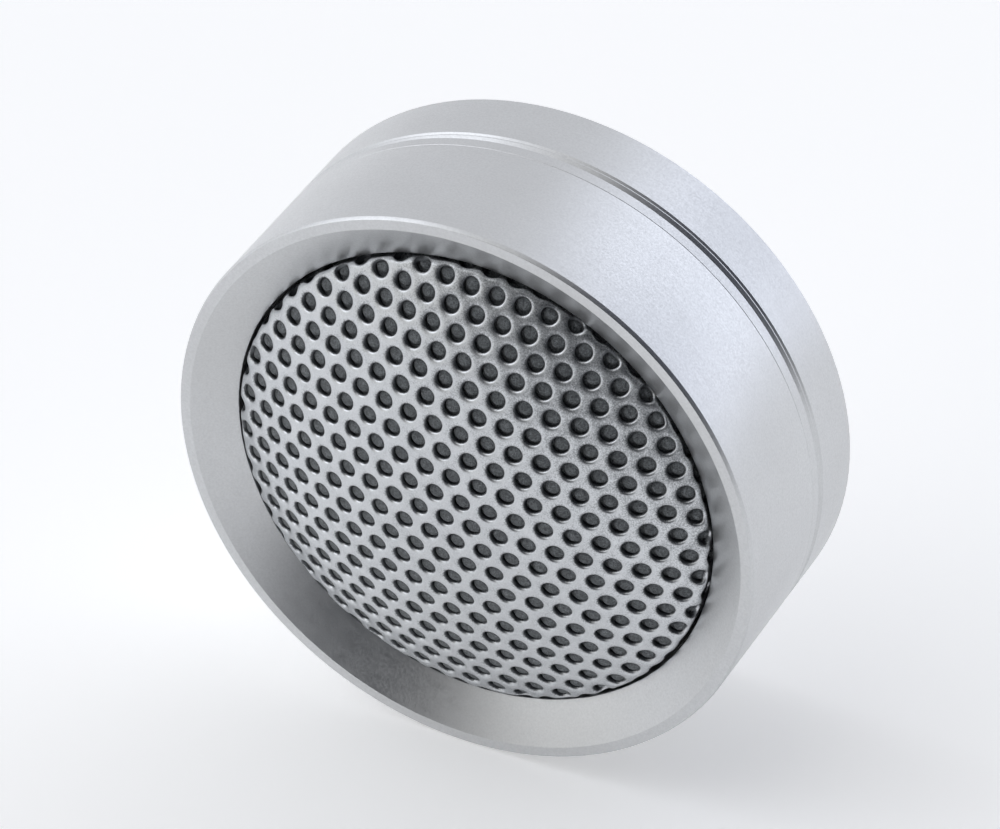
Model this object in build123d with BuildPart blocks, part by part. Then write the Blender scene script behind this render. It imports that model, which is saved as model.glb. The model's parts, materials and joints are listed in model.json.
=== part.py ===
"""Car tweeter: a twist-on metal head with a domed grille, on a surface-mount cup.

The origin is the centre of the flat back that is fastened to the car's panel.
The tweeter's axis is Y, the listener is on the -Y side and +Z is up. A depth is
a distance in front of the back face. Dimensions are in millimetres.
"""

import os
from math import cos, hypot, radians, sin, sqrt

from build123d import *

# ---------------------------------------------------------------- driving dimensions

# Housing
HOUSING_R = 27.5            # cylindrical wall
LIP_DEPTH = 20.1            # flat lip of the bezel
BAND_DEPTH = 6.87           # back face of the body ring, at the groove
CUP_WALL_DEPTH = 5.9        # front end of the rear cup's wall
CUP_LAND_R = 27.39          # narrow land in front of the wall's bevelled end
CUP_LAND_BACK = 6.12
CUP_LAND_FRONT = 6.2
CUP_NOSE_R = 27.15          # sloping nose that fills the groove
CUP_DEPTH = 6.75            # front face of the cup
JOINT_DEPTH = 8.0           # hairline joint between body ring and bezel

# Bezel
LIP_EDGE_R = 27.35          # outer edge of the lip
LIP_EDGE_DROP = 0.37        # length of the turned edge beside it
LIP_INNER_R = 26.4          # inner edge of the lip, where the cone starts
OPENING_R = 22.8            # bottom of the cone
CONE_DEPTH = 2.24           # height of the cone
BEZEL_BORE_R = 24.9
SHELF_DEPTH = 16.2          # shelf behind the opening
EDGE_BREAK = 0.04           # at the hairline joint

# Body ring
BAND_FILLET = 0.06          # rounded rear edge, at the groove
WEB_R = 19.5                # inner edge of its web
SPIGOT_R = 24.2             # rear spigot, inside the cup
SPIGOT_INNER_R = 21.8
SPIGOT_BACK = 3.8
COLLAR_R = 24.85            # front collar, inside the bezel
COLLAR_INNER_R = 23.2
COLLAR_FRONT = 12.4
BOSS_R = 1.75
BOSS_PLACE_R = 21.4

# Grille
SPHERE_R = 48.0             # outside of the dome
DOME_RISE = 3.83            # apex in front of the lip
MESH_R = 22.55              # outside of the turned-down skirt
MESH_SHEET = 0.6
MESH_BEND = 0.7             # outer radius where the dome turns into the skirt
SKIRT_BACK = 15.4
HOLE_R = 0.75
HOLE_PITCH = 2.508          # staggered rows
HOLE_FIELD_R = 21.0         # holes are punched inside this radius
ROW_ANGLE = -6.54           # direction of one row
ROW_SHIFT = (0.45, 0.27)    # X and Z of the hole nearest to the axis
CLOTH_R = 21.2
CLOTH_SHEET = 0.8
CLOTH_GAP = 0.05
SEAT_INNER_R = 20.8
SEAT_STEP_R = 22.7

# Motor and diaphragm
FACEPLATE_R = 24.8
FACEPLATE_BACK = 13.0
FACEPLATE_SHEET = 1.4
FACEPLATE_HOLE_R = 13.9
SCREW_HEAD_R = 1.7
SCREW_SHANK_R = 0.9
SCREW_HEAD = 0.8
YOKE_R = 16.5
YOKE_BORE_R = 13.4
YOKE_BACK = 4.6
YOKE_FLOOR = 2.0
MAGNET_R = 11.4
POLE_R = 12.0
POLE_PLATE = 2.0
PAD_R = 10.0
PAD_SHEET = 1.2
FORMER_R = 12.6
FORMER_WALL = 0.25
FORMER_BACK = 9.0
FORMER_FRONT = 13.87
COIL_R = 12.95
COIL_BACK = 9.8
COIL_FRONT = 12.2
DOME_R = 12.7
DOME_EDGE = 14.3
DOME_HEIGHT = 3.7
DOME_SHEET = 0.4
ROLL_R = 0.75               # the surround's half roll
ROLL_SHEET = 0.3
ROLL_PLACE_R = 13.75
SURROUND_R = 16.0

# Terminals
BOARD_SIZE = (13.0, 6.0)
BOARD_PLACE = 9.5           # centre of the board above the axis
BOARD_SHEET = 1.0
TAB_SIZE = (2.2, 9.0)
TAB_PLACE = (4.0, 13.0)
TAB_SHEET = 0.4
LEAD_R = 0.2
LEAD_PLACE = (4.0, 16.9)    # where a lead runs forward beside the yoke
LEAD_END = (3.4, 14.6)      # where it is stuck to the surround
LEAD_HOLE_R = 0.6
LEAD_DEPTH = 14.92
LEAD_BEND = 0.6

# Rear cup
CUP_BORE_R = 25.5
CUP_FLOOR = 2.0
CUP_HEEL = 0.4              # rear edge
GASKET_R = 25.0
GASKET_INNER_R = 20.5
GASKET_SHEET = 0.8
SCREW_SPACING = 30.0        # mounting screws, apart along X
SCREW_HOLE_R = 1.75
SCREW_SINK_R = 3.2
CABLE_HOLE_R = 4.0
CABLE_R = 2.5               # bore of the grommet
GROMMET_LIP_R = 5.0
GROMMET_LIP = 0.6
GROMMET_FLANGE_R = 5.6
GROMMET_FRONT = 3.2
GROMMET_EDGE = 0.3

# Twist fastening
CATCHES = 3
CATCH_ANGLE = 90.0          # place of the first catch, from X towards Z
CATCH_WIDTH = 24.0          # degrees
CATCH_R = 24.5
CATCH_ROOT = 0.5            # how far a catch reaches into the wall
CATCH_BACK = 4.1
CATCH_FRONT = 4.9
LUG_R = 25.2
LUG_WIDTH = 24.0
BAYONET_INNER_R = 22.0
BAYONET_BACK = 2.7
TWIST = 30.0                # degrees from locked to free
STOP_WIDTH = 4.0
STOP_GAP = 1.0
STOP_R = 24.6
SEAL_R = 25.3
SEAL_BACK = 5.2
RING_SCREW_HEAD_R = 1.15
RING_SCREW_SHANK_R = 0.7
RING_SCREW_HEAD = 0.5
RING_SCREW_FRONT = 5.6
RING_SCREW_ANGLE = 30.0     # the first screw of the bayonet ring and of the faceplate

PROFILE = Plane(origin=(0, 0, 0), x_dir=(1, 0, 0), z_dir=(0, 0, -1))


# ---------------------------------------------------------------- helpers

def across(depth):
    """The plane across the axis at a depth: local x is X, local y is Z."""
    return Plane.XZ.offset(depth)


def turn(*outline, mode=Mode.ADD):
    """Turn a closed outline of (radius, depth) points about the axis."""
    with BuildSketch(PROFILE) as section:
        with BuildLine():
            Polyline(*outline, close=True)
        make_face()
    revolve(section.sketch, axis=Axis.Y, mode=mode)


def tube(inner_r, outer_r, back, front, mode=Mode.ADD):
    """A plain ring about the axis between two depths."""
    turn((inner_r, back), (outer_r, back), (outer_r, front), (inner_r, front), mode=mode)


def sector(inner_r, outer_r, width):
    """A ring's sector, centred on local x."""
    with BuildSketch(mode=Mode.PRIVATE) as shape:
        with BuildLine():
            outer = CenterArc((0, 0), outer_r, -width / 2, width)
            inner = CenterArc((0, 0), inner_r, -width / 2, width)
            Line(outer @ 0, inner @ 0)
            Line(outer @ 1, inner @ 1)
        make_face()
    return shape.sketch


def dome_plug(sphere_r, wall_r, apex, back, bend):
    """A solid plug under a spherical dome, rounded where the dome meets its wall."""
    centre = apex - sphere_r
    rim = centre + sqrt(sphere_r**2 - wall_r**2)
    with BuildPart() as plug:
        with BuildSketch(PROFILE):
            with BuildLine():
                Line((0, back), (wall_r, back))
                Line((wall_r, back), (wall_r, rim))
                ThreePointArc((wall_r, rim), on_sphere(sphere_r, centre, wall_r / 2), (0, apex))
                Line((0, apex), (0, back))
            make_face()
            if bend:
                fillet(vertices().sort_by_distance((wall_r, rim))[0], bend)
        revolve(axis=Axis.Y)
    return plug.part


def on_sphere(sphere_r, centre, radius):
    """The point of a sphere's section at a radius from the axis."""
    return (radius, centre + sqrt(sphere_r**2 - radius**2))


def hole_planes(sphere_r, centre):
    """Planes on the sphere at the staggered holes, each facing outwards.

    The holes are punched in flat sheet, so a hole's distance from the middle of
    the sheet becomes an arc of the same length on the dome.
    """
    along = (cos(radians(ROW_ANGLE)), sin(radians(ROW_ANGLE)))
    slant = (cos(radians(ROW_ANGLE + 60)), sin(radians(ROW_ANGLE + 60)))
    reach = int(HOLE_FIELD_R / HOLE_PITCH * 1.3)
    planes = []
    for row in range(-reach, reach + 1):
        for place in range(-reach, reach + 1):
            x = ROW_SHIFT[0] + HOLE_PITCH * (place * along[0] + row * slant[0])
            z = ROW_SHIFT[1] + HOLE_PITCH * (place * along[1] + row * slant[1])
            flat = hypot(x, z)
            polar = flat / sphere_r
            if sphere_r * sin(polar) > HOLE_FIELD_R:
                continue
            outward = Vector(sin(polar) * x / flat, -cos(polar), sin(polar) * z / flat)
            planes.append(Plane(Vector(0, -centre, 0) + outward * sphere_r, z_dir=outward))
    return planes


# ---------------------------------------------------------------- rear cup

catch = sector(CATCH_R, CUP_BORE_R + CATCH_ROOT, CATCH_WIDTH)
stop = sector(STOP_R, CUP_BORE_R + CATCH_ROOT, STOP_WIDTH)
locked_stop = CATCH_ANGLE + LUG_WIDTH / 2 + STOP_GAP + STOP_WIDTH / 2
free_stop = CATCH_ANGLE - LUG_WIDTH / 2 - TWIST - STOP_GAP - STOP_WIDTH / 2

with BuildPart() as rear_cup:
    turn(
        (CABLE_HOLE_R, CUP_FLOOR),
        (CABLE_HOLE_R, GROMMET_LIP),
        (GROMMET_LIP_R, GROMMET_LIP),
        (GROMMET_LIP_R, 0),
        (GASKET_INNER_R, 0),
        (GASKET_INNER_R, GASKET_SHEET),
        (GASKET_R, GASKET_SHEET),
        (GASKET_R, 0),
        (HOUSING_R - CUP_HEEL, 0),
        (HOUSING_R, CUP_HEEL),
        (HOUSING_R, CUP_WALL_DEPTH),
        (CUP_LAND_R, CUP_LAND_BACK),
        (CUP_LAND_R, CUP_LAND_FRONT),
        (CUP_NOSE_R, CUP_DEPTH),
        (CUP_BORE_R, CUP_DEPTH),
        (CUP_BORE_R, CUP_FLOOR),
    )
    with BuildSketch(across(CATCH_BACK)):
        with PolarLocations(0, CATCHES, start_angle=CATCH_ANGLE):
            add(catch)
    extrude(amount=CATCH_FRONT - CATCH_BACK)
    with BuildSketch(across(CUP_FLOOR)):
        for stop_angle in (locked_stop, free_stop):
            with PolarLocations(0, CATCHES, start_angle=stop_angle):
                add(stop)
    extrude(amount=SPIGOT_BACK - CUP_FLOOR)
    with Locations(across(CUP_FLOOR)):
        with GridLocations(SCREW_SPACING, 0, 2, 1):
            CounterSinkHole(SCREW_HOLE_R, SCREW_SINK_R, depth=CUP_FLOOR)

with BuildPart() as back_gasket:
    tube(GASKET_INNER_R, GASKET_R, 0, GASKET_SHEET)

with BuildPart() as cable_grommet:
    turn(
        (CABLE_R, 0),
        (GROMMET_LIP_R, 0),
        (GROMMET_LIP_R, GROMMET_LIP),
        (CABLE_HOLE_R, GROMMET_LIP),
        (CABLE_HOLE_R, CUP_FLOOR),
        (GROMMET_FLANGE_R, CUP_FLOOR),
        (GROMMET_FLANGE_R - GROMMET_EDGE, GROMMET_FRONT),
        (CABLE_R, GROMMET_FRONT),
    )

# ---------------------------------------------------------------- housing of the head

opening_depth = LIP_DEPTH - CONE_DEPTH

with BuildPart() as front_bezel:
    turn(
        (BEZEL_BORE_R, JOINT_DEPTH),
        (HOUSING_R - EDGE_BREAK, JOINT_DEPTH),
        (HOUSING_R, JOINT_DEPTH + EDGE_BREAK),
        (HOUSING_R, LIP_DEPTH - LIP_EDGE_DROP),
        (LIP_EDGE_R, LIP_DEPTH),
        (LIP_INNER_R, LIP_DEPTH),
        (OPENING_R, opening_depth),
        (OPENING_R, SHELF_DEPTH),
        (BEZEL_BORE_R, SHELF_DEPTH),
    )

with BuildPart() as body_ring:
    tube(WEB_R, HOUSING_R, BAND_DEPTH, JOINT_DEPTH)
    rear_edge = edges().filter_by(GeomType.CIRCLE).group_by(Axis.Y)[-1].sort_by(SortBy.RADIUS)[-1]
    fillet(rear_edge, BAND_FILLET)
    front_edge = edges().filter_by(GeomType.CIRCLE).group_by(Axis.Y)[0].sort_by(SortBy.RADIUS)[-1]
    chamfer(front_edge, EDGE_BREAK)
    tube(SPIGOT_INNER_R, SPIGOT_R, SPIGOT_BACK, BAND_DEPTH)
    tube(COLLAR_INNER_R, COLLAR_R, JOINT_DEPTH, COLLAR_FRONT)
    with BuildSketch(across(JOINT_DEPTH)):
        with PolarLocations(BOSS_PLACE_R, CATCHES, start_angle=RING_SCREW_ANGLE):
            Circle(BOSS_R)
    extrude(amount=FACEPLATE_BACK - JOINT_DEPTH)
    with BuildSketch(across(FACEPLATE_BACK)):
        with PolarLocations(BOSS_PLACE_R, CATCHES, start_angle=RING_SCREW_ANGLE):
            Circle(SCREW_SHANK_R)
    extrude(amount=-(FACEPLATE_BACK - JOINT_DEPTH), mode=Mode.SUBTRACT)
    with BuildSketch(across(SPIGOT_BACK)):
        with PolarLocations((SPIGOT_R + SPIGOT_INNER_R) / 2, CATCHES, start_angle=RING_SCREW_ANGLE):
            Circle(RING_SCREW_SHANK_R)
    extrude(amount=RING_SCREW_FRONT - SPIGOT_BACK, mode=Mode.SUBTRACT)

# ---------------------------------------------------------------- twist fastening

lug = sector(BAYONET_INNER_R + 1, LUG_R, LUG_WIDTH)
ring_screws_r = (SPIGOT_R + SPIGOT_INNER_R) / 2

with BuildPart() as bayonet_ring:
    tube(BAYONET_INNER_R, SPIGOT_R, BAYONET_BACK, SPIGOT_BACK)
    with BuildSketch(across(BAYONET_BACK)):
        with PolarLocations(0, CATCHES, start_angle=CATCH_ANGLE):
            add(lug)
    extrude(amount=SPIGOT_BACK - BAYONET_BACK)
    with BuildSketch(across(BAYONET_BACK)):
        with PolarLocations(ring_screws_r, CATCHES, start_angle=RING_SCREW_ANGLE):
            Circle(RING_SCREW_HEAD_R)
    extrude(amount=RING_SCREW_HEAD, mode=Mode.SUBTRACT)
    with BuildSketch(across(BAYONET_BACK)):
        with PolarLocations(ring_screws_r, CATCHES, start_angle=RING_SCREW_ANGLE):
            Circle(RING_SCREW_SHANK_R)
    extrude(amount=SPIGOT_BACK - BAYONET_BACK, mode=Mode.SUBTRACT)

with BuildPart() as bayonet_screws:
    with BuildSketch(across(BAYONET_BACK)):
        with PolarLocations(ring_screws_r, CATCHES, start_angle=RING_SCREW_ANGLE):
            Circle(RING_SCREW_HEAD_R)
    extrude(amount=RING_SCREW_HEAD)
    with BuildSketch(across(BAYONET_BACK + RING_SCREW_HEAD)):
        with PolarLocations(ring_screws_r, CATCHES, start_angle=RING_SCREW_ANGLE):
            Circle(RING_SCREW_SHANK_R)
    extrude(amount=RING_SCREW_FRONT - BAYONET_BACK - RING_SCREW_HEAD)

with BuildPart() as seal_ring:
    tube(SPIGOT_R, SEAL_R, SEAL_BACK, BAND_DEPTH)

# ---------------------------------------------------------------- grille

apex = LIP_DEPTH + DOME_RISE
sphere_centre = apex - SPHERE_R
cloth_front = apex - MESH_SHEET - CLOTH_GAP
cloth_sphere_r = SPHERE_R - MESH_SHEET - CLOTH_GAP
mesh_outside = dome_plug(SPHERE_R, MESH_R, apex, SKIRT_BACK, MESH_BEND)
mesh_inside = dome_plug(
    SPHERE_R - MESH_SHEET, MESH_R - MESH_SHEET, apex - MESH_SHEET, SKIRT_BACK, MESH_BEND - MESH_SHEET
)
cloth_outside = dome_plug(cloth_sphere_r, CLOTH_R, cloth_front, SKIRT_BACK, 0)
cloth_inside = dome_plug(cloth_sphere_r - CLOTH_SHEET, CLOTH_R, cloth_front - CLOTH_SHEET, SKIRT_BACK, 0)

with BuildPart() as grille_mesh:
    add(mesh_outside)
    add(mesh_inside, mode=Mode.SUBTRACT)
    with Locations(hole_planes(SPHERE_R, sphere_centre)):
        Cylinder(HOLE_R, 4 * MESH_SHEET, mode=Mode.SUBTRACT)

with BuildPart() as grille_cloth:
    add(cloth_outside)
    add(cloth_inside, mode=Mode.SUBTRACT)

with BuildPart() as grille_seat:
    turn(
        (SEAT_INNER_R, FACEPLATE_BACK + FACEPLATE_SHEET),
        (FACEPLATE_R, FACEPLATE_BACK + FACEPLATE_SHEET),
        (FACEPLATE_R, SHELF_DEPTH),
        (SEAT_STEP_R, SHELF_DEPTH),
        (SEAT_STEP_R, SKIRT_BACK),
        (SEAT_INNER_R, SKIRT_BACK),
    )

# ---------------------------------------------------------------- driver

faceplate_front = FACEPLATE_BACK + FACEPLATE_SHEET
lead_places = [LEAD_PLACE, (-LEAD_PLACE[0], LEAD_PLACE[1])]

with BuildPart() as driver_faceplate:
    tube(FACEPLATE_HOLE_R, FACEPLATE_R, FACEPLATE_BACK, faceplate_front)
    with Locations(across(faceplate_front)):
        with PolarLocations(BOSS_PLACE_R, CATCHES, start_angle=RING_SCREW_ANGLE):
            CounterBoreHole(SCREW_SHANK_R, SCREW_HEAD_R, SCREW_HEAD, depth=FACEPLATE_SHEET)
        with Locations(*lead_places):
            Hole(LEAD_HOLE_R, depth=FACEPLATE_SHEET)

with BuildPart() as faceplate_screws:
    with BuildSketch(across(faceplate_front - SCREW_HEAD)):
        with PolarLocations(BOSS_PLACE_R, CATCHES, start_angle=RING_SCREW_ANGLE):
            Circle(SCREW_HEAD_R)
    extrude(amount=SCREW_HEAD)
    with BuildSketch(across(JOINT_DEPTH)):
        with PolarLocations(BOSS_PLACE_R, CATCHES, start_angle=RING_SCREW_ANGLE):
            Circle(SCREW_SHANK_R)
    extrude(amount=faceplate_front - SCREW_HEAD - JOINT_DEPTH)

with BuildPart() as driver_gasket:
    tube(COLLAR_INNER_R, FACEPLATE_R, COLLAR_FRONT, FACEPLATE_BACK)

with BuildPart() as yoke:
    turn(
        (0, YOKE_BACK),
        (YOKE_R, YOKE_BACK),
        (YOKE_R, FACEPLATE_BACK),
        (YOKE_BORE_R, FACEPLATE_BACK),
        (YOKE_BORE_R, YOKE_BACK + YOKE_FLOOR),
        (0, YOKE_BACK + YOKE_FLOOR),
    )

with BuildPart() as magnet:
    with BuildSketch(across(YOKE_BACK + YOKE_FLOOR)):
        Circle(MAGNET_R)
    extrude(amount=FACEPLATE_BACK - POLE_PLATE - YOKE_BACK - YOKE_FLOOR)

with BuildPart() as pole_piece:
    with BuildSketch(across(FACEPLATE_BACK - POLE_PLATE)):
        Circle(POLE_R)
    extrude(amount=POLE_PLATE)

with BuildPart() as damping_pad:
    with BuildSketch(across(FACEPLATE_BACK)):
        Circle(PAD_R)
    extrude(amount=PAD_SHEET)

with BuildPart() as surround:
    with BuildSketch(PROFILE):
        with Locations((ROLL_PLACE_R, faceplate_front)):
            Circle(ROLL_R)
            Circle(ROLL_R - ROLL_SHEET, mode=Mode.SUBTRACT)
            Rectangle(2 * ROLL_R, ROLL_R, align=(Align.CENTER, Align.MAX), mode=Mode.SUBTRACT)
        with Locations((ROLL_PLACE_R + ROLL_R - ROLL_SHEET, faceplate_front)):
            Rectangle(
                SURROUND_R - ROLL_PLACE_R - ROLL_R + ROLL_SHEET, ROLL_SHEET, align=(Align.MIN, Align.MIN)
            )
    revolve(axis=Axis.Y)

# ---------------------------------------------------------------- terminals and leads

with BuildPart() as terminal_board:
    with BuildSketch(across(YOKE_BACK)):
        with Locations((0, BOARD_PLACE)):
            RectangleRounded(*BOARD_SIZE, 1)
    extrude(amount=-BOARD_SHEET)


def terminal(side):
    """A flat push-on tab on the board, on the +X side for 1 and the -X side for -1."""
    with BuildPart() as tab:
        with BuildSketch(across(YOKE_BACK - BOARD_SHEET)):
            with Locations((side * TAB_PLACE[0], TAB_PLACE[1])):
                RectangleRounded(*TAB_SIZE, 0.5)
        extrude(amount=-TAB_SHEET)
    return tab


terminal_positive = terminal(1)
terminal_negative = terminal(-1)

with BuildPart() as tinsel_leads:
    for side in (1, -1):
        with BuildLine() as route:
            FilletPolyline(
                (side * LEAD_PLACE[0], -YOKE_BACK + BOARD_SHEET, LEAD_PLACE[1]),
                (side * LEAD_PLACE[0], -LEAD_DEPTH, LEAD_PLACE[1]),
                (side * LEAD_END[0], -LEAD_DEPTH, LEAD_END[1]),
                radius=LEAD_BEND,
            )
        with BuildSketch(Plane(route.line @ 0, z_dir=route.line % 0)) as wire:
            Circle(LEAD_R)
        sweep(wire.sketch, path=route.line)

# ---------------------------------------------------------------- moving diaphragm

diaphragm_sphere_r = (DOME_R**2 + DOME_HEIGHT**2) / (2 * DOME_HEIGHT)
diaphragm_apex = DOME_EDGE + DOME_HEIGHT
diaphragm_outside = dome_plug(diaphragm_sphere_r, DOME_R, diaphragm_apex, DOME_EDGE - 1, 0)
diaphragm_inside = dome_plug(
    diaphragm_sphere_r - DOME_SHEET, DOME_R + 1, diaphragm_apex - DOME_SHEET, DOME_EDGE - 2, 0
)

with BuildPart() as dome_diaphragm:
    add(diaphragm_outside)
    add(diaphragm_inside, mode=Mode.SUBTRACT)

with BuildPart() as voice_coil_former:
    tube(FORMER_R - FORMER_WALL, FORMER_R, FORMER_BACK, FORMER_FRONT)

with BuildPart() as voice_coil:
    tube(FORMER_R, COIL_R, COIL_BACK, COIL_FRONT)

# ---------------------------------------------------------------- export

pieces = {
    "rear_cup": rear_cup,
    "back_gasket": back_gasket,
    "cable_grommet": cable_grommet,
    "front_bezel": front_bezel,
    "body_ring": body_ring,
    "bayonet_ring": bayonet_ring,
    "bayonet_screws": bayonet_screws,
    "seal_ring": seal_ring,
    "grille_mesh": grille_mesh,
    "grille_cloth": grille_cloth,
    "grille_seat": grille_seat,
    "driver_faceplate": driver_faceplate,
    "faceplate_screws": faceplate_screws,
    "driver_gasket": driver_gasket,
    "yoke": yoke,
    "magnet": magnet,
    "pole_piece": pole_piece,
    "damping_pad": damping_pad,
    "surround": surround,
    "terminal_board": terminal_board,
    "terminal_positive": terminal_positive,
    "terminal_negative": terminal_negative,
    "tinsel_leads": tinsel_leads,
    "dome_diaphragm": dome_diaphragm,
    "voice_coil_former": voice_coil_former,
    "voice_coil": voice_coil,
}

os.makedirs("parts", exist_ok=True)
for name, piece in pieces.items():
    piece.part.label = name
    export_step(piece.part, f"parts/{name}.step")
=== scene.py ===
"""Looks of the car tweeter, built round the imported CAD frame.

Everything is in metres in the CAD's frame: the axis of the tweeter is Y, the
listener is on the -Y side and +Z is up. Outlines are written in millimetres as
(radius, depth) points, where a depth is a distance in front of the back face.
"""

import json
import math

import bmesh
import bpy
import numpy as np
from mathutils import Matrix, Vector


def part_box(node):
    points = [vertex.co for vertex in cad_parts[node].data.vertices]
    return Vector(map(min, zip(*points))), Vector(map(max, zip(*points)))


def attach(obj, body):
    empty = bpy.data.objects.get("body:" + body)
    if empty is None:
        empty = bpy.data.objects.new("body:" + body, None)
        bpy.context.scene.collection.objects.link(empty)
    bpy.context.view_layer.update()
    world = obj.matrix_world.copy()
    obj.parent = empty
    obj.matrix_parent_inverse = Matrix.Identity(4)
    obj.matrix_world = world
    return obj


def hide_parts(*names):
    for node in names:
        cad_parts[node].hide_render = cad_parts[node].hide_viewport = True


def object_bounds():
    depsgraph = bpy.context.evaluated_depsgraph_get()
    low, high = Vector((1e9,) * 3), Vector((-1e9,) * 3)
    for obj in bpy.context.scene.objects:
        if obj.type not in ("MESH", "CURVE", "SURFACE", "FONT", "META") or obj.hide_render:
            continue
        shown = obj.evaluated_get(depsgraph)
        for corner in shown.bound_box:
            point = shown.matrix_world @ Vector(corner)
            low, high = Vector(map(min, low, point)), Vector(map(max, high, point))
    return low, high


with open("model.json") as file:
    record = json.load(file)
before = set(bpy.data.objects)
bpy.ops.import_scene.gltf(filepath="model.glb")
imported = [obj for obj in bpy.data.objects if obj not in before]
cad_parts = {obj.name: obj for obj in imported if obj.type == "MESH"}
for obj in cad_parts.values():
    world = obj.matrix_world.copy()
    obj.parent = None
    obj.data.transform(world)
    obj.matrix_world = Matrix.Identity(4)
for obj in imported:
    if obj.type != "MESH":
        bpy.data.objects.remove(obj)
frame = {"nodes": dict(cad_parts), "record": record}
cad_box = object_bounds()

MM = 0.001
SEGMENTS = 360              # of a turned piece
CORNER_STEPS = 5            # of a rounded corner of its outline


# ---------------------------------------------------------------- places from the frame

def depth_range(node):
    """The back and front of a node, as depths in millimetres."""
    low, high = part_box(node)
    return -high.y / MM, -low.y / MM


def outer_radius(node):
    """The outer radius of a round node, in millimetres."""
    low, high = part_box(node)
    return (high.x - low.x) / 2 / MM


joint_depth, lip_depth = depth_range("front_bezel")
housing_r = outer_radius("front_bezel")
skirt_back, apex_depth = depth_range("grille_mesh")
mesh_r = outer_radius("grille_mesh")
seat_front = depth_range("grille_seat")[1]
cloth_front = depth_range("grille_cloth")[1]

# Bezel, in millimetres.
LIP_EDGE_DROP = 0.37        # height of the turned edge beside the lip
LIP_EDGE_R = housing_r - 0.15
LIP_INNER_R = housing_r - 1.1
OPENING_R = housing_r - 4.7
CONE_DEPTH = 2.24           # from the lip back to the opening round the grille
BEZEL_BORE_R = housing_r - 2.6

# Grille sheet, in millimetres.
SPHERE_R = 48.0             # outside of the grille's dome
MESH_SHEET = 0.6            # thickness
MESH_BEND = 0.7             # outer radius of the bend between dome and skirt
HOLE_R = 0.75
HOLE_PITCH = 2.508
ROW_ANGLE = math.radians(-6.54)
ROW_SHIFT = (0.45, 0.27)    # from the axis to the nearest hole
SKIRT_WAVES = 9             # sine waves that make the skirt uneven
SKIRT_WAVE = 0.03           # their greatest height, all together
SKIRT_INSET = 0.03          # the skirt stands this far in, so that the waves stay in the box
SKIRT_LEAD = 1.0            # the unevenness starts this far before the end of the dome
SKIRT_RUN = 1.6             # and is full this much further on
WELD = 2e-6                 # in metres: points closer than this are one

# Painted light and shade on the grille, from a fixed direction whose turn is counted from X towards Z.
# Lips that lean away from it, the walls of the holes and the edge towards +X and +Z are painted darker.
PAINTED_LIGHT_TURN = math.radians(157)
PAINTED_LIGHT_TILT = math.radians(40)       # off the flat sheet's normal
PAINTED_EDGE_SHADE = 0.27       # at the sheet's edge towards +X and +Z
PAINTED_EDGE_SHADE_REACH = 30.0       # X and Z together where the painted edge shade is full
PAINTED_EDGE_SHADE_CURVE = 1.5

# Felt, in millimetres.
FELT_SWELL = 0.30           # height in the middle of a hole, above the felt behind the sheet
FELT_RELIEF = 0.02          # unevenness of the swollen surface
FELT_THICKNESS = 0.6
FELT_GAP = 0.05             # to the back of the sheet
FELT_SIDE_GAP = 0.08        # to the inside of the skirt
FELT_BEND = 0.45
FELT_SHORTER = 1.2          # its skirt ends this far in front of the grille's


# ---------------------------------------------------------------- mesh helpers

def add_object(name, mesh):
    """Link a mesh to the scene as a new object."""
    piece = bpy.data.objects.new(name, mesh)
    bpy.context.scene.collection.objects.link(piece)
    return piece


def rounded(outline):
    """An outline of (radius, depth, corner radius) points with its corners as arcs."""
    points = []
    count = len(outline)
    for i in range(count):
        here = np.array(outline[i][:2], float)
        before = np.array(outline[i - 1][:2], float) - here
        after = np.array(outline[(i + 1) % count][:2], float) - here
        corner = outline[i][2] if len(outline[i]) > 2 else 0.0
        if corner == 0:
            points.append(tuple(here))
            continue
        before /= np.linalg.norm(before)
        after /= np.linalg.norm(after)
        half = math.acos(np.clip(before @ after, -1, 1)) / 2
        middle = (before + after) / np.linalg.norm(before + after)
        centre = here + middle * corner / math.sin(half)
        start = here + before * corner / math.tan(half) - centre
        end = here + after * corner / math.tan(half) - centre
        turn = math.pi - 2 * half
        side = math.copysign(1, start[0] * end[1] - start[1] * end[0])
        for step in range(CORNER_STEPS + 1):
            angle = side * turn * step / CORNER_STEPS
            points.append((
                centre[0] + start[0] * math.cos(angle) - start[1] * math.sin(angle),
                centre[1] + start[0] * math.sin(angle) + start[1] * math.cos(angle),
            ))
    return points


def turned(name, outline):
    """A closed outline turned about the axis."""
    points = np.array(rounded(outline))
    angles = np.linspace(0, 2 * math.pi, SEGMENTS, endpoint=False)
    radius = points[None, :, 0] * MM
    x = radius * np.cos(angles)[:, None]
    z = radius * np.sin(angles)[:, None]
    y = np.broadcast_to(-points[None, :, 1] * MM, x.shape)
    vertices = np.stack([x, y, z], axis=2).reshape(-1, 3)
    count = len(points)
    faces = []
    for i in range(SEGMENTS):
        following = (i + 1) % SEGMENTS
        for j in range(count):
            k = (j + 1) % count
            faces.append((i * count + j, following * count + j, following * count + k, i * count + k))
    mesh = bpy.data.meshes.new(name)
    mesh.from_pydata(vertices.tolist(), [], faces)
    tidy_mesh(mesh, sharp=35.0)
    return add_object(name, mesh)


def tidy_mesh(mesh, sharp, merge=0.0):
    """Merge close points, drop faces without area, turn normals outwards and shade smooth."""
    bm = bmesh.new()
    bm.from_mesh(mesh)
    if merge:
        bmesh.ops.remove_doubles(bm, verts=bm.verts, dist=merge)
        bmesh.ops.dissolve_degenerate(bm, edges=bm.edges, dist=merge)
    bmesh.ops.recalc_face_normals(bm, faces=bm.faces)
    bm.to_mesh(mesh)
    bm.free()
    mesh.polygons.foreach_set("use_smooth", [True] * len(mesh.polygons))
    mesh.set_sharp_from_angle(angle=math.radians(sharp))
    mesh.update()


# ---------------------------------------------------------------- grille

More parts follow.
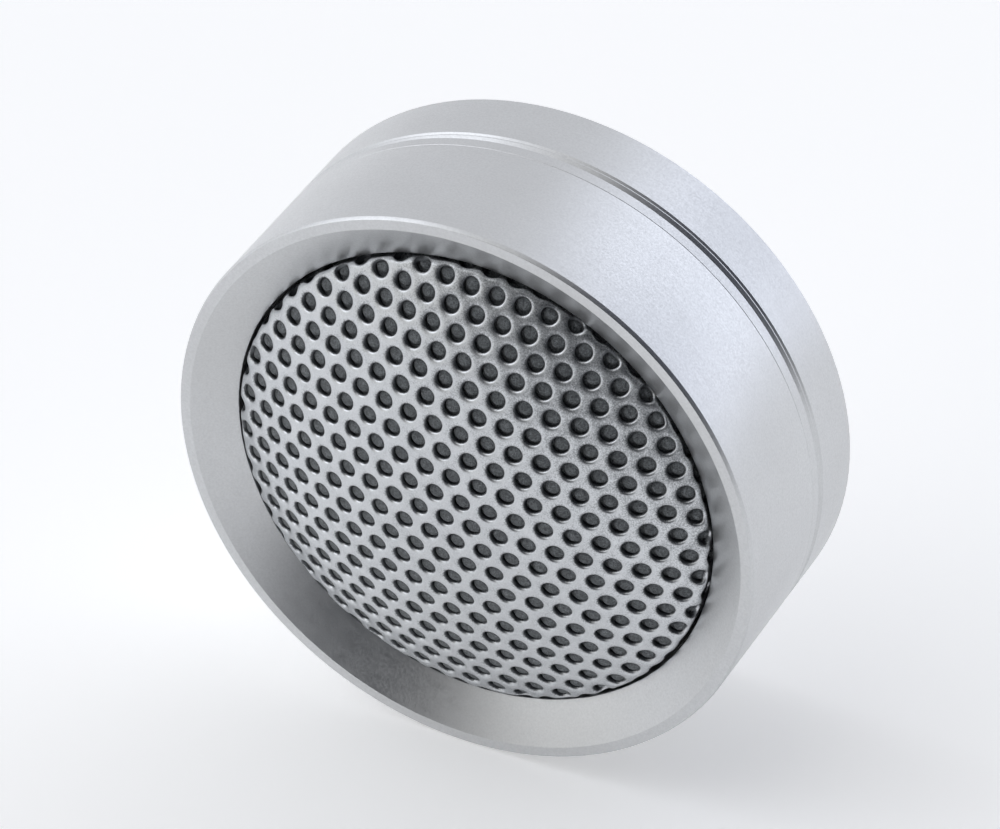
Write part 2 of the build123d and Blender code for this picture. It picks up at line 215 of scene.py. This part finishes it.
class SheetForm:
    """Flat punched sheet pressed into a dome with a turned-down skirt.

    A point of the flat sheet keeps its distance from the middle, measured along
    the pressed section: over the dome, round the bend and down the skirt.
    """

    def __init__(self, sphere_r, wall_r, apex, back, bend):
        self.sphere_r, self.wall_r, self.bend = sphere_r, wall_r, bend
        self.centre = apex - sphere_r
        self.tilt = math.asin((wall_r - bend) / (sphere_r - bend))
        self.bend_depth = self.centre + (sphere_r - bend) * math.cos(self.tilt)
        self.dome_end = sphere_r * self.tilt
        self.bend_end = self.dome_end + bend * (math.pi / 2 - self.tilt)
        self.edge = self.bend_end + self.bend_depth - back

    def press(self, flat_x, flat_z, rise):
        """Points of the pressed sheet, rise millimetres outside its outer surface."""
        flat = np.hypot(flat_x, flat_z)
        along = np.minimum(flat, self.edge)
        tilt = np.where(
            along < self.dome_end,
            along / self.sphere_r,
            np.minimum(self.tilt + (along - self.dome_end) / self.bend, math.pi / 2),
        )
        on_dome = along < self.dome_end
        radius = np.where(
            on_dome,
            self.sphere_r * np.sin(tilt),
            self.wall_r - self.bend + self.bend * np.sin(tilt),
        )
        depth = np.where(
            on_dome,
            self.centre + self.sphere_r * np.cos(tilt),
            self.bend_depth + self.bend * np.cos(tilt) - np.maximum(along - self.bend_end, 0),
        )
        radius = radius + rise * np.sin(tilt)
        depth = depth + rise * np.cos(tilt)
        turn = np.arctan2(flat_z, flat_x)
        return np.stack([radius * np.cos(turn), -depth, radius * np.sin(turn)], axis=-1) * MM


def lattice(reach):
    """Centres of the staggered holes in the flat sheet, out to a distance."""
    along = np.array([math.cos(ROW_ANGLE), math.sin(ROW_ANGLE)])
    slant = np.array([math.cos(ROW_ANGLE + math.pi / 3), math.sin(ROW_ANGLE + math.pi / 3)])
    slanted_rows = 1.3      # more than 2 / sqrt(3), as slanted rows lie closer than the pitch
    rows = int(reach / HOLE_PITCH * slanted_rows) + 1
    steps = np.arange(-rows, rows + 1)
    place, row = np.meshgrid(steps, steps)
    centres = HOLE_PITCH * (place[..., None] * along + row[..., None] * slant)
    centres = centres.reshape(-1, 2) + np.array(ROW_SHIFT)
    return centres[np.hypot(centres[:, 0], centres[:, 1]) < reach]


def cell_turns(around):
    """Directions round a hole, and the distance to its hexagonal cell's edge in each."""
    turns = ROW_ANGLE + np.arange(around) * 2 * math.pi / around
    from_side = (turns - ROW_ANGLE + math.pi / 6) % (math.pi / 3) - math.pi / 6
    return turns, HOLE_PITCH / 2 / np.cos(from_side)


def ring_faces(first, rings, around):
    """Faces between neighbouring rings of points that start at a place in the list."""
    faces = []
    for ring in range(rings - 1):
        for i in range(around):
            j = (i + 1) % around
            a, b = first + ring * around, first + (ring + 1) * around
            faces.append((a + i, a + j, b + j, b + i))
    return faces


def make_grille():
    """The perforated dome: every hole has a rolled lip, a wall and a back edge."""
    form = SheetForm(SPHERE_R, mesh_r, apex_depth, skirt_back, MESH_BEND)
    around = 36
    # Rings of a cell between its hexagons in front and behind, as (radius, rise) in millimetres.
    rolled = [
        (1.16, -0.004), (1.05, -0.014), (0.96, -0.032),
        (0.88, -0.064), (0.82, -0.115), (0.78, -0.19),
    ]
    wall = [(HOLE_R, -0.3), (HOLE_R, -0.45), (HOLE_R + 0.02, -MESH_SHEET)]
    back = [(1.05, -MESH_SHEET)]
    rings = rolled + wall + back
    # How far the surface leans into the hole, in degrees: at the hexagon in front, at each
    # ring and at the hexagon behind.
    slopes = [0, 3, 7, 14, 25, 42, 62] + [90] * len(wall) + [180] * (len(back) + 1)
    turns, hexagon = cell_turns(around)
    sizes = [hexagon] + [np.full(around, radius) for radius, _ in rings] + [hexagon]
    rises = [0.0] + [rise for _, rise in rings] + [-MESH_SHEET]
    vertices, faces, painted_light_level = [], [], []
    random = np.random.default_rng(3)
    phase = random.uniform(0, 2 * math.pi, SKIRT_WAVES)
    for centre in lattice(form.edge + HOLE_PITCH / 2):
        first = len(vertices)
        for size, rise, slope in zip(sizes, rises, np.radians(slopes)):
            flat_x = centre[0] + size * np.cos(turns)
            flat_z = centre[1] + size * np.sin(turns)
            flat = np.hypot(flat_x, flat_z)
            dent = np.clip((flat - form.dome_end + SKIRT_LEAD) / SKIRT_RUN, 0, 1)
            turn = np.arctan2(flat_z, flat_x)
            waves = sum(np.sin((11 + 5 * k) * turn + phase[k]) for k in range(SKIRT_WAVES)) / SKIRT_WAVES
            uneven = rise + SKIRT_WAVE * dent * waves - SKIRT_INSET * dent
            points = form.press(flat_x, flat_z, uneven)
            vertices.extend(points.tolist())
            # Painted light and shade: the surface's lean towards a fixed light direction, lowered
            # towards the +X and +Z edge.
            toward_painted_light = np.cos(turns - PAINTED_LIGHT_TURN) * math.sin(slope) * math.sin(PAINTED_LIGHT_TILT)
            far = np.clip((flat_x + flat_z) / PAINTED_EDGE_SHADE_REACH, 0, 1)
            painted_far_shade = PAINTED_EDGE_SHADE * far ** PAINTED_EDGE_SHADE_CURVE
            painted_light_level.extend((math.cos(slope) * math.cos(PAINTED_LIGHT_TILT) - toward_painted_light - painted_far_shade).tolist())
        faces.extend(ring_faces(first, len(sizes), around))
    mesh = bpy.data.meshes.new("perforated_grille")
    mesh.from_pydata(vertices, [], faces)
    mesh.attributes.new("painted_shading", "FLOAT", "POINT").data.foreach_set("value", painted_light_level)
    tidy_mesh(mesh, sharp=60.0, merge=WELD)
    return add_object("perforated_grille", mesh)


def make_felt():
    """The felt against the back of the grille, swelling into every hole, and its flat radius."""
    sphere_r = SPHERE_R - MESH_SHEET - FELT_GAP
    wall_r = mesh_r - MESH_SHEET - FELT_SIDE_GAP
    form = SheetForm(sphere_r, wall_r, cloth_front, skirt_back + FELT_SHORTER, FELT_BEND)
    around = 24
    turns, hexagon = cell_turns(around)
    # Rings of a cell from its hexagon towards the middle of the hole: radii in millimetres,
    # and the share of the swell that each ring has.
    sizes = [hexagon, 0.745, 0.71, 0.66, 0.58, 0.46, 0.32, 0.16]
    shares = [0.0, 0.0, 0.45, 0.70, 0.86, 0.95, 0.99, 1.0]
    random = np.random.default_rng(5)
    vertices, faces = [], []
    for centre in lattice(form.edge + HOLE_PITCH / 2):
        first = len(vertices)
        for size, share in zip(sizes, shares):
            flat_x = centre[0] + size * np.cos(turns)
            flat_z = centre[1] + size * np.sin(turns)
            relief = FELT_RELIEF * share * random.random(around)
            vertices.extend(form.press(flat_x, flat_z, FELT_SWELL * share - relief).tolist())
        vertices.append(form.press(*centre, FELT_SWELL).tolist())
        faces.extend(ring_faces(first, len(sizes), around))
        inner, middle = first + (len(sizes) - 1) * around, len(vertices) - 1
        faces.extend((inner + i, inner + (i + 1) % around, middle) for i in range(around))
    mesh = bpy.data.meshes.new("grille_felt")
    mesh.from_pydata(vertices, [], faces)
    tidy_mesh(mesh, sharp=180.0, merge=WELD)
    piece = add_object("grille_felt", mesh)
    thick = piece.modifiers.new("thickness", "SOLIDIFY")
    thick.thickness = FELT_THICKNESS * MM
    thick.offset = -1
    return piece, form.edge


# ---------------------------------------------------------------- material helpers

def feed(tree, socket, value):
    """Link a node's output to a socket, or set a plain value on it."""
    if isinstance(value, bpy.types.NodeSocket):
        tree.links.new(value, socket)
    else:
        socket.default_value = value


class Nodes:
    """One material's node tree round a Principled shader, in object coordinates."""

    def __init__(self, name):
        self.material = bpy.data.materials.new(name)
        self.material.use_nodes = True
        self.tree = self.material.node_tree
        self.tree.nodes.clear()
        output = self.tree.nodes.new("ShaderNodeOutputMaterial")
        self.shader = self.tree.nodes.new("ShaderNodeBsdfPrincipled")
        self.link(self.shader.outputs[0], output.inputs["Surface"])
        self.place = self.tree.nodes.new("ShaderNodeTexCoord").outputs["Object"]

    def link(self, source, target):
        """Link one node's output to another's input."""
        self.tree.links.new(source, target)

    def set(self, **values):
        """Set the shader's sockets by name, with _ for a space."""
        for name, value in values.items():
            feed(self.tree, self.shader.inputs[name.replace("_", " ")], value)

    def attribute(self, name):
        """A number that the mesh carries at its points."""
        node = self.tree.nodes.new("ShaderNodeAttribute")
        node.attribute_name = name
        return node.outputs["Fac"]

    def scaled(self, x, y, z):
        """Object coordinates scaled per axis."""
        node = self.tree.nodes.new("ShaderNodeMapping")
        node.inputs["Scale"].default_value = (x, y, z)
        self.link(self.place, node.inputs["Vector"])
        return node.outputs["Vector"]

    def noise(self, scale, detail=2.0, roughness=0.5, place=None):
        """Cloudy noise."""
        node = self.tree.nodes.new("ShaderNodeTexNoise")
        node.inputs["Scale"].default_value = scale
        node.inputs["Detail"].default_value = detail
        node.inputs["Roughness"].default_value = roughness
        self.link(place or self.place, node.inputs["Vector"])
        return node.outputs["Fac"]

    def cells(self, scale):
        """The distance from the middles of irregular cells."""
        node = self.tree.nodes.new("ShaderNodeTexVoronoi")
        node.inputs["Scale"].default_value = scale
        self.link(self.place, node.inputs["Vector"])
        return node.outputs["Distance"]

    def wave(self, scale, axis):
        """Even bands across an axis."""
        node = self.tree.nodes.new("ShaderNodeTexWave")
        node.bands_direction = axis
        node.inputs["Scale"].default_value = scale
        self.link(self.place, node.inputs["Vector"])
        return node.outputs["Fac"]

    def span(self, value, low, high, from_low=0.3, from_high=0.7):
        """Map a value's usual range onto another."""
        node = self.tree.nodes.new("ShaderNodeMapRange")
        node.inputs["From Min"].default_value = from_low
        node.inputs["From Max"].default_value = from_high
        node.inputs["To Min"].default_value = low
        node.inputs["To Max"].default_value = high
        self.link(value, node.inputs["Value"])
        return node.outputs["Result"]

    def math(self, operation, first, second):
        """One step of arithmetic on two values."""
        node = self.tree.nodes.new("ShaderNodeMath")
        node.operation = operation
        feed(self.tree, node.inputs[0], first)
        feed(self.tree, node.inputs[1], second)
        return node.outputs["Value"]

    def mix(self, share, first, second):
        """Blend two colours."""
        node = self.tree.nodes.new("ShaderNodeMixRGB")
        feed(self.tree, node.inputs["Fac"], share)
        feed(self.tree, node.inputs["Color1"], first)
        feed(self.tree, node.inputs["Color2"], second)
        return node.outputs["Color"]

    def bump(self, height, strength, distance, under=None):
        """A normal roughened by a height, on top of another normal if one is given."""
        node = self.tree.nodes.new("ShaderNodeBump")
        node.inputs["Strength"].default_value = strength
        node.inputs["Distance"].default_value = distance
        self.link(height, node.inputs["Height"])
        if under is not None:
            self.link(under, node.inputs["Normal"])
        return node.outputs["Normal"]


def grey(value, blue=0.0):
    """A grey, with its blue raised and its red lowered by a share."""
    return (value * (1 - blue), value, value * (1 + blue), 1.0)


# ---------------------------------------------------------------- materials

def blasted_aluminium():
    """Bead-blasted, clear anodised aluminium: a fine even grain and faint drifts of tone."""
    n = Nodes("blasted_aluminium")
    grain = n.noise(5200, detail=3, roughness=0.6)
    drift = n.noise(90)
    lay = n.noise(1, place=n.scaled(500, 2600, 500))
    tone = n.mix(n.span(drift, 0, 1), grey(0.63, 0.010), grey(0.675, 0.014))
    tone = n.mix(n.span(grain, 0, 0.5), tone, grey(0.535, 0.012))
    n.set(
        Base_Color=tone,
        Metallic=1.0,
        Roughness=n.math("ADD", n.span(grain, 0.30, 0.42), n.span(lay, -0.02, 0.02)),
    )
    under = n.bump(lay, strength=0.10, distance=0.00002)
    n.set(Normal=n.bump(grain, strength=0.34, distance=0.000014, under=under))
    return n.material


def lacquered_grille_painted_shade():
    """Silver-lacquered perforated sheet, with painted shade.

    The mesh's painted light value darkens it, in specks, on rolled lips that lean away
    from a fixed direction, in the walls of the holes and towards the +X and +Z edge.
    """
    n = Nodes("lacquered_grille_painted_shade")
    grain = n.noise(7500, detail=3, roughness=0.65)
    clouds = n.noise(600, detail=3, roughness=0.55)
    silver = n.mix(n.span(clouds, 0, 1), grey(0.55, 0.03), grey(0.63, 0.025))
    sparkle = n.span(grain, 0, 0.55, from_low=0.42, from_high=0.68)
    silver = n.mix(sparkle, silver, grey(0.78, 0.02))
    # Painted shade: where the painted light value, speckled by the grain, is low, the silver turns dark
    # grey and rougher.
    speckled_painted_light = n.math("ADD", n.attribute("painted_shading"), n.span(grain, -0.17, 0.17))
    speckled_painted_light = n.math("ADD", speckled_painted_light, n.span(clouds, -0.05, 0.05))
    painted_light_level = n.span(speckled_painted_light, 0, 1, from_low=0.28, from_high=0.66)
    n.set(
        Base_Color=n.mix(painted_light_level, grey(0.14, 0.05), silver),
        Metallic=1.0,
        Roughness=n.span(painted_light_level, 0.50, 0.34, from_low=0, from_high=1),
    )
    under = n.bump(clouds, strength=0.25, distance=0.00006)
    n.set(Normal=n.bump(grain, strength=0.45, distance=0.00002, under=under))
    return n.material


def pressed_felt(name, dark, light):
    """Pressed wool felt: tangled fibres in two tones."""
    n = Nodes(name)
    fibres = n.noise(1, detail=4, roughness=0.7, place=n.scaled(3600, 3600, 8200))
    crossing = n.noise(1, detail=4, roughness=0.7, place=n.scaled(8600, 3600, 3400))
    clumps = n.noise(1400)
    tangle = n.math("MAXIMUM", fibres, crossing)
    tone = n.mix(n.span(tangle, 0, 1, from_low=0.45, from_high=0.72), dark, light)
    tone = n.mix(n.span(clumps, 0, 0.5), tone, dark)
    n.set(Base_Color=tone, Roughness=0.95, Sheen_Weight=0.25, Sheen_Roughness=0.6)
    n.set(Normal=n.bump(tangle, strength=0.8, distance=0.00012))
    return n.material


def moulded(name, tone, roughness, grain_size=0.00025):
    """Moulded plastic or rubber with a fine tool texture, its grain size in metres."""
    n = Nodes(name)
    grain = n.noise(1 / grain_size)
    drift = n.noise(120)
    n.set(
        Base_Color=n.mix(n.span(drift, 0, 1), grey(tone * 0.85), grey(tone * 1.25)),
        Roughness=n.span(grain, roughness - 0.06, roughness + 0.06),
        Normal=n.bump(grain, strength=0.3, distance=0.00002),
    )
    return n.material


def foam():
    """Closed-cell foam with cut cells at its surface, with painted shade in the cells' pits."""
    n = Nodes("closed_cell_foam")
    cell = n.cells(1700)
    n.set(
        # Painted shade: darker in the middles of the cut cells, where the bump is lowest.
        Base_Color=n.mix(n.span(cell, 0, 1, from_low=0.1, from_high=0.6), grey(0.022), grey(0.06)),
        Roughness=0.88,
        Normal=n.bump(cell, strength=0.7, distance=0.00012),
    )
    return n.material


def plated(name, colour, roughness, grain_size=0.0004):
    """Plated or bare metal with faint stains and a fine grain, its size in metres."""
    n = Nodes(name)
    stain = n.noise(260, detail=3)
    grain = n.noise(1 / grain_size)
    darker = tuple(c * 0.82 for c in colour[:3]) + (1.0,)
    n.set(
        Base_Color=n.mix(n.span(stain, 0, 1), darker, colour),
        Metallic=1.0,
        Roughness=n.span(grain, roughness - 0.05, roughness + 0.07),
        Normal=n.bump(grain, strength=0.2, distance=0.00002),
    )
    return n.material


def doped_silk():
    """Coated silk: a fine plain weave under a soft gloss."""
    n = Nodes("doped_silk")
    weave = n.math("MULTIPLY", n.wave(1100, "X"), n.wave(1100, "Z"))
    patch = n.noise(300)
    n.set(
        Base_Color=n.mix(n.span(patch, 0, 1), grey(0.035, 0.05), grey(0.06, 0.05)),
        Roughness=n.span(weave, 0.42, 0.6, from_low=0, from_high=1),
        Normal=n.bump(weave, strength=0.5, distance=0.00005),
    )
    return n.material


def copper_windings():
    """Enamelled copper wire, its turns side by side along the axis, with painted shade in the grooves
    between turns and painted highlight on their crests.
    """
    n = Nodes("copper_windings")
    turns = n.wave(900, "Y")
    n.set(
        # Painted shade and highlight: the copper is darker in the grooves between turns and lighter on
        # their crests.
        Base_Color=n.mix(turns, (0.30, 0.11, 0.045, 1), (0.80, 0.42, 0.22, 1)),
        Metallic=1.0,
        Roughness=n.span(n.noise(2000), 0.25, 0.4),
        Normal=n.bump(turns, strength=0.7, distance=0.00005),
    )
    return n.material


def fibre_board():
    """Pressed brown fibre board."""
    n = Nodes("fibre_board")
    flecks = n.noise(1, detail=4, roughness=0.65, place=n.scaled(900, 900, 3800))
    n.set(
        Base_Color=n.mix(n.span(flecks, 0, 1), (0.13, 0.07, 0.035, 1), (0.30, 0.17, 0.09, 1)),
        Roughness=0.62,
        Normal=n.bump(flecks, strength=0.3, distance=0.00004),
    )
    return n.material


SLOT_MATERIALS = {
    "shell_metal": blasted_aluminium(),
    "grille_metal": lacquered_grille_painted_shade(),
    "felt": pressed_felt("charcoal_felt", (0.060, 0.067, 0.072, 1), (0.34, 0.365, 0.38, 1)),
    "black_plastic": moulded("black_plastic", 0.022, 0.5),
    "black_rubber": moulded("black_rubber", 0.028, 0.72, 0.00035),
    "gasket_foam": foam(),
    "plated_steel": plated("plated_steel", (0.56, 0.57, 0.59, 1), 0.32),
    "screw_steel": plated("screw_steel", (0.44, 0.45, 0.47, 1), 0.3, 0.0002),
    "magnet_nickel": plated("magnet_nickel", (0.68, 0.65, 0.60, 1), 0.16),
    "silk": doped_silk(),
    "former_foil": plated("former_foil", (0.78, 0.78, 0.80, 1), 0.24),
    "copper_wire": copper_windings(),
    "fibre_board": fibre_board(),
    "terminal_brass": plated("terminal_brass", (0.80, 0.62, 0.30, 1), 0.25),
}

for part in frame["record"]["subparts"]:
    mesh = frame["nodes"][part["node"]].data
    mesh.materials.clear()
    mesh.materials.append(SLOT_MATERIALS[part["material_slot"]])


def finish_piece(piece, body, slot, *nodes):
    """Give a new piece its finish, its body and the CAD nodes that it stands for."""
    piece.data.materials.append(SLOT_MATERIALS[slot])
    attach(piece, body)
    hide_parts(*nodes)


# ---------------------------------------------------------------- pieces

bezel = turned("bezel_shell", [
    (BEZEL_BORE_R, joint_depth, 0.05),
    (housing_r, joint_depth, 0.05),
    (housing_r, lip_depth - LIP_EDGE_DROP, 0.12),
    (LIP_EDGE_R, lip_depth, 0.05),
    (LIP_INNER_R, lip_depth, 0.08),
    (OPENING_R, lip_depth - CONE_DEPTH, 0.12),
    (OPENING_R, seat_front),
    (BEZEL_BORE_R, seat_front),
])
finish_piece(bezel, "head", "shell_metal", "front_bezel")

grille = make_grille()
finish_piece(grille, "head", "grille_metal", "grille_mesh")

cloth, cloth_flat_r = make_felt()
finish_piece(cloth, "head", "felt", "grille_cloth")


# ---------------------------------------------------------------- floor, light and camera

TO_CAMERA = Vector((0.3619, -0.7093, 0.6048)).normalized()
CAMERA_RIGHT = Vector((0.8908, 0.4544, 0.0)).normalized()
CAMERA_UP = TO_CAMERA.cross(CAMERA_RIGHT)
CAMERA_DISTANCE = 0.5136    # in metres, from the middle of the lip, along the view
CAMERA_ASIDE = 0.00336      # the lip's middle stands this far left of the picture's
CAMERA_ABOVE = 0.00684      # and this far below it
LENS = 216.8
SENSOR = 36.0
FLOOR_HALF = 4.0            # half its side, in metres
FLOOR_GLOW = 0.30           # the floor is a backlit sheet


def make_camera():
    """The camera, level, above and to the right of the tweeter's front."""
    data = bpy.data.cameras.new("camera")
    data.lens, data.sensor_width = LENS, SENSOR
    camera = bpy.data.objects.new("camera", data)
    bpy.context.scene.collection.objects.link(camera)
    lip_middle = Vector((0, -lip_depth * MM, 0))
    camera.location = (
        lip_middle + CAMERA_RIGHT * CAMERA_ASIDE + CAMERA_UP * CAMERA_ABOVE + TO_CAMERA * CAMERA_DISTANCE
    )
    turn = Matrix((CAMERA_RIGHT, CAMERA_UP, TO_CAMERA)).transposed()
    camera.rotation_mode = "QUATERNION"
    camera.rotation_quaternion = turn.to_quaternion()
    bpy.context.scene.camera = camera


def make_floor():
    """A plain pale floor under the housing's rim."""
    bm = bmesh.new()
    bmesh.ops.create_grid(bm, x_segments=8, y_segments=8, size=FLOOR_HALF)
    mesh = bpy.data.meshes.new("floor")
    bm.to_mesh(mesh)
    bm.free()
    floor = add_object("floor", mesh)
    floor.location.z = cad_box[0].z
    n = Nodes("pale_floor")
    n.set(
        Base_Color=grey(0.94),
        Roughness=0.8,
        Emission_Color=grey(1.0),
        Emission_Strength=FLOOR_GLOW,
    )
    mesh.materials.append(n.material)


def direction(azimuth, elevation):
    """A unit vector from degrees: azimuth 0 is the listener's side, -Y, and 90 is +X."""
    across, up = math.radians(azimuth), math.radians(elevation)
    return (math.cos(up) * math.sin(across), -math.cos(up) * math.cos(across), math.sin(up))


TENT = (0.92, 0.92, 0.91)
# Patches of the light tent, laid over each other in this order, with angles in degrees:
# (azimuth, elevation, radius of the even middle, radius where it ends, colour).
PATCHES = [
    (-140, 30, 15, 75, (0.80, 0.81, 0.84)),     # the far left wall is duller
    (-78, 38, 8, 34, (1.9, 1.95, 2.05)),        # softbox on the left
    (148, 14, 24, 48, (1.44, 1.50, 1.66)),      # daylight from the far right
    (82, 42, 32, 54, (0.05, 0.055, 0.075)),     # dark room on the right
    (18, 20, 26, 50, (0.035, 0.038, 0.045)),    # gap that the camera looks through
]


def make_studio():
    """A pale tent of light, with a softbox and the dark gap that the camera stands in."""
    world = bpy.data.worlds.new("studio")
    bpy.context.scene.world = world
    world.use_nodes = True
    tree = world.node_tree
    nodes, links = tree.nodes, tree.links
    nodes.clear()
    place = nodes.new("ShaderNodeTexCoord").outputs["Generated"]
    colour = (*TENT, 1.0)
    for azimuth, elevation, inner, outer, patch in PATCHES:
        toward = nodes.new("ShaderNodeVectorMath")
        toward.operation = "DOT_PRODUCT"
        links.new(place, toward.inputs[0])
        toward.inputs[1].default_value = direction(azimuth, elevation)
        share = nodes.new("ShaderNodeMapRange")
        share.interpolation_type = "SMOOTHSTEP"
        share.inputs["From Min"].default_value = math.cos(math.radians(outer))
        share.inputs["From Max"].default_value = math.cos(math.radians(inner))
        links.new(toward.outputs["Value"], share.inputs["Value"])
        blend = nodes.new("ShaderNodeMixRGB")
        links.new(share.outputs["Result"], blend.inputs["Fac"])
        feed(tree, blend.inputs["Color1"], colour)
        blend.inputs["Color2"].default_value = (*patch, 1.0)
        colour = blend.outputs["Color"]
    background = nodes.new("ShaderNodeBackground")
    links.new(colour, background.inputs["Color"])
    output = nodes.new("ShaderNodeOutputWorld")
    links.new(background.outputs[0], output.inputs["Surface"])


bpy.context.scene.view_settings.view_transform = "Standard"
make_camera()
make_floor()
make_studio()
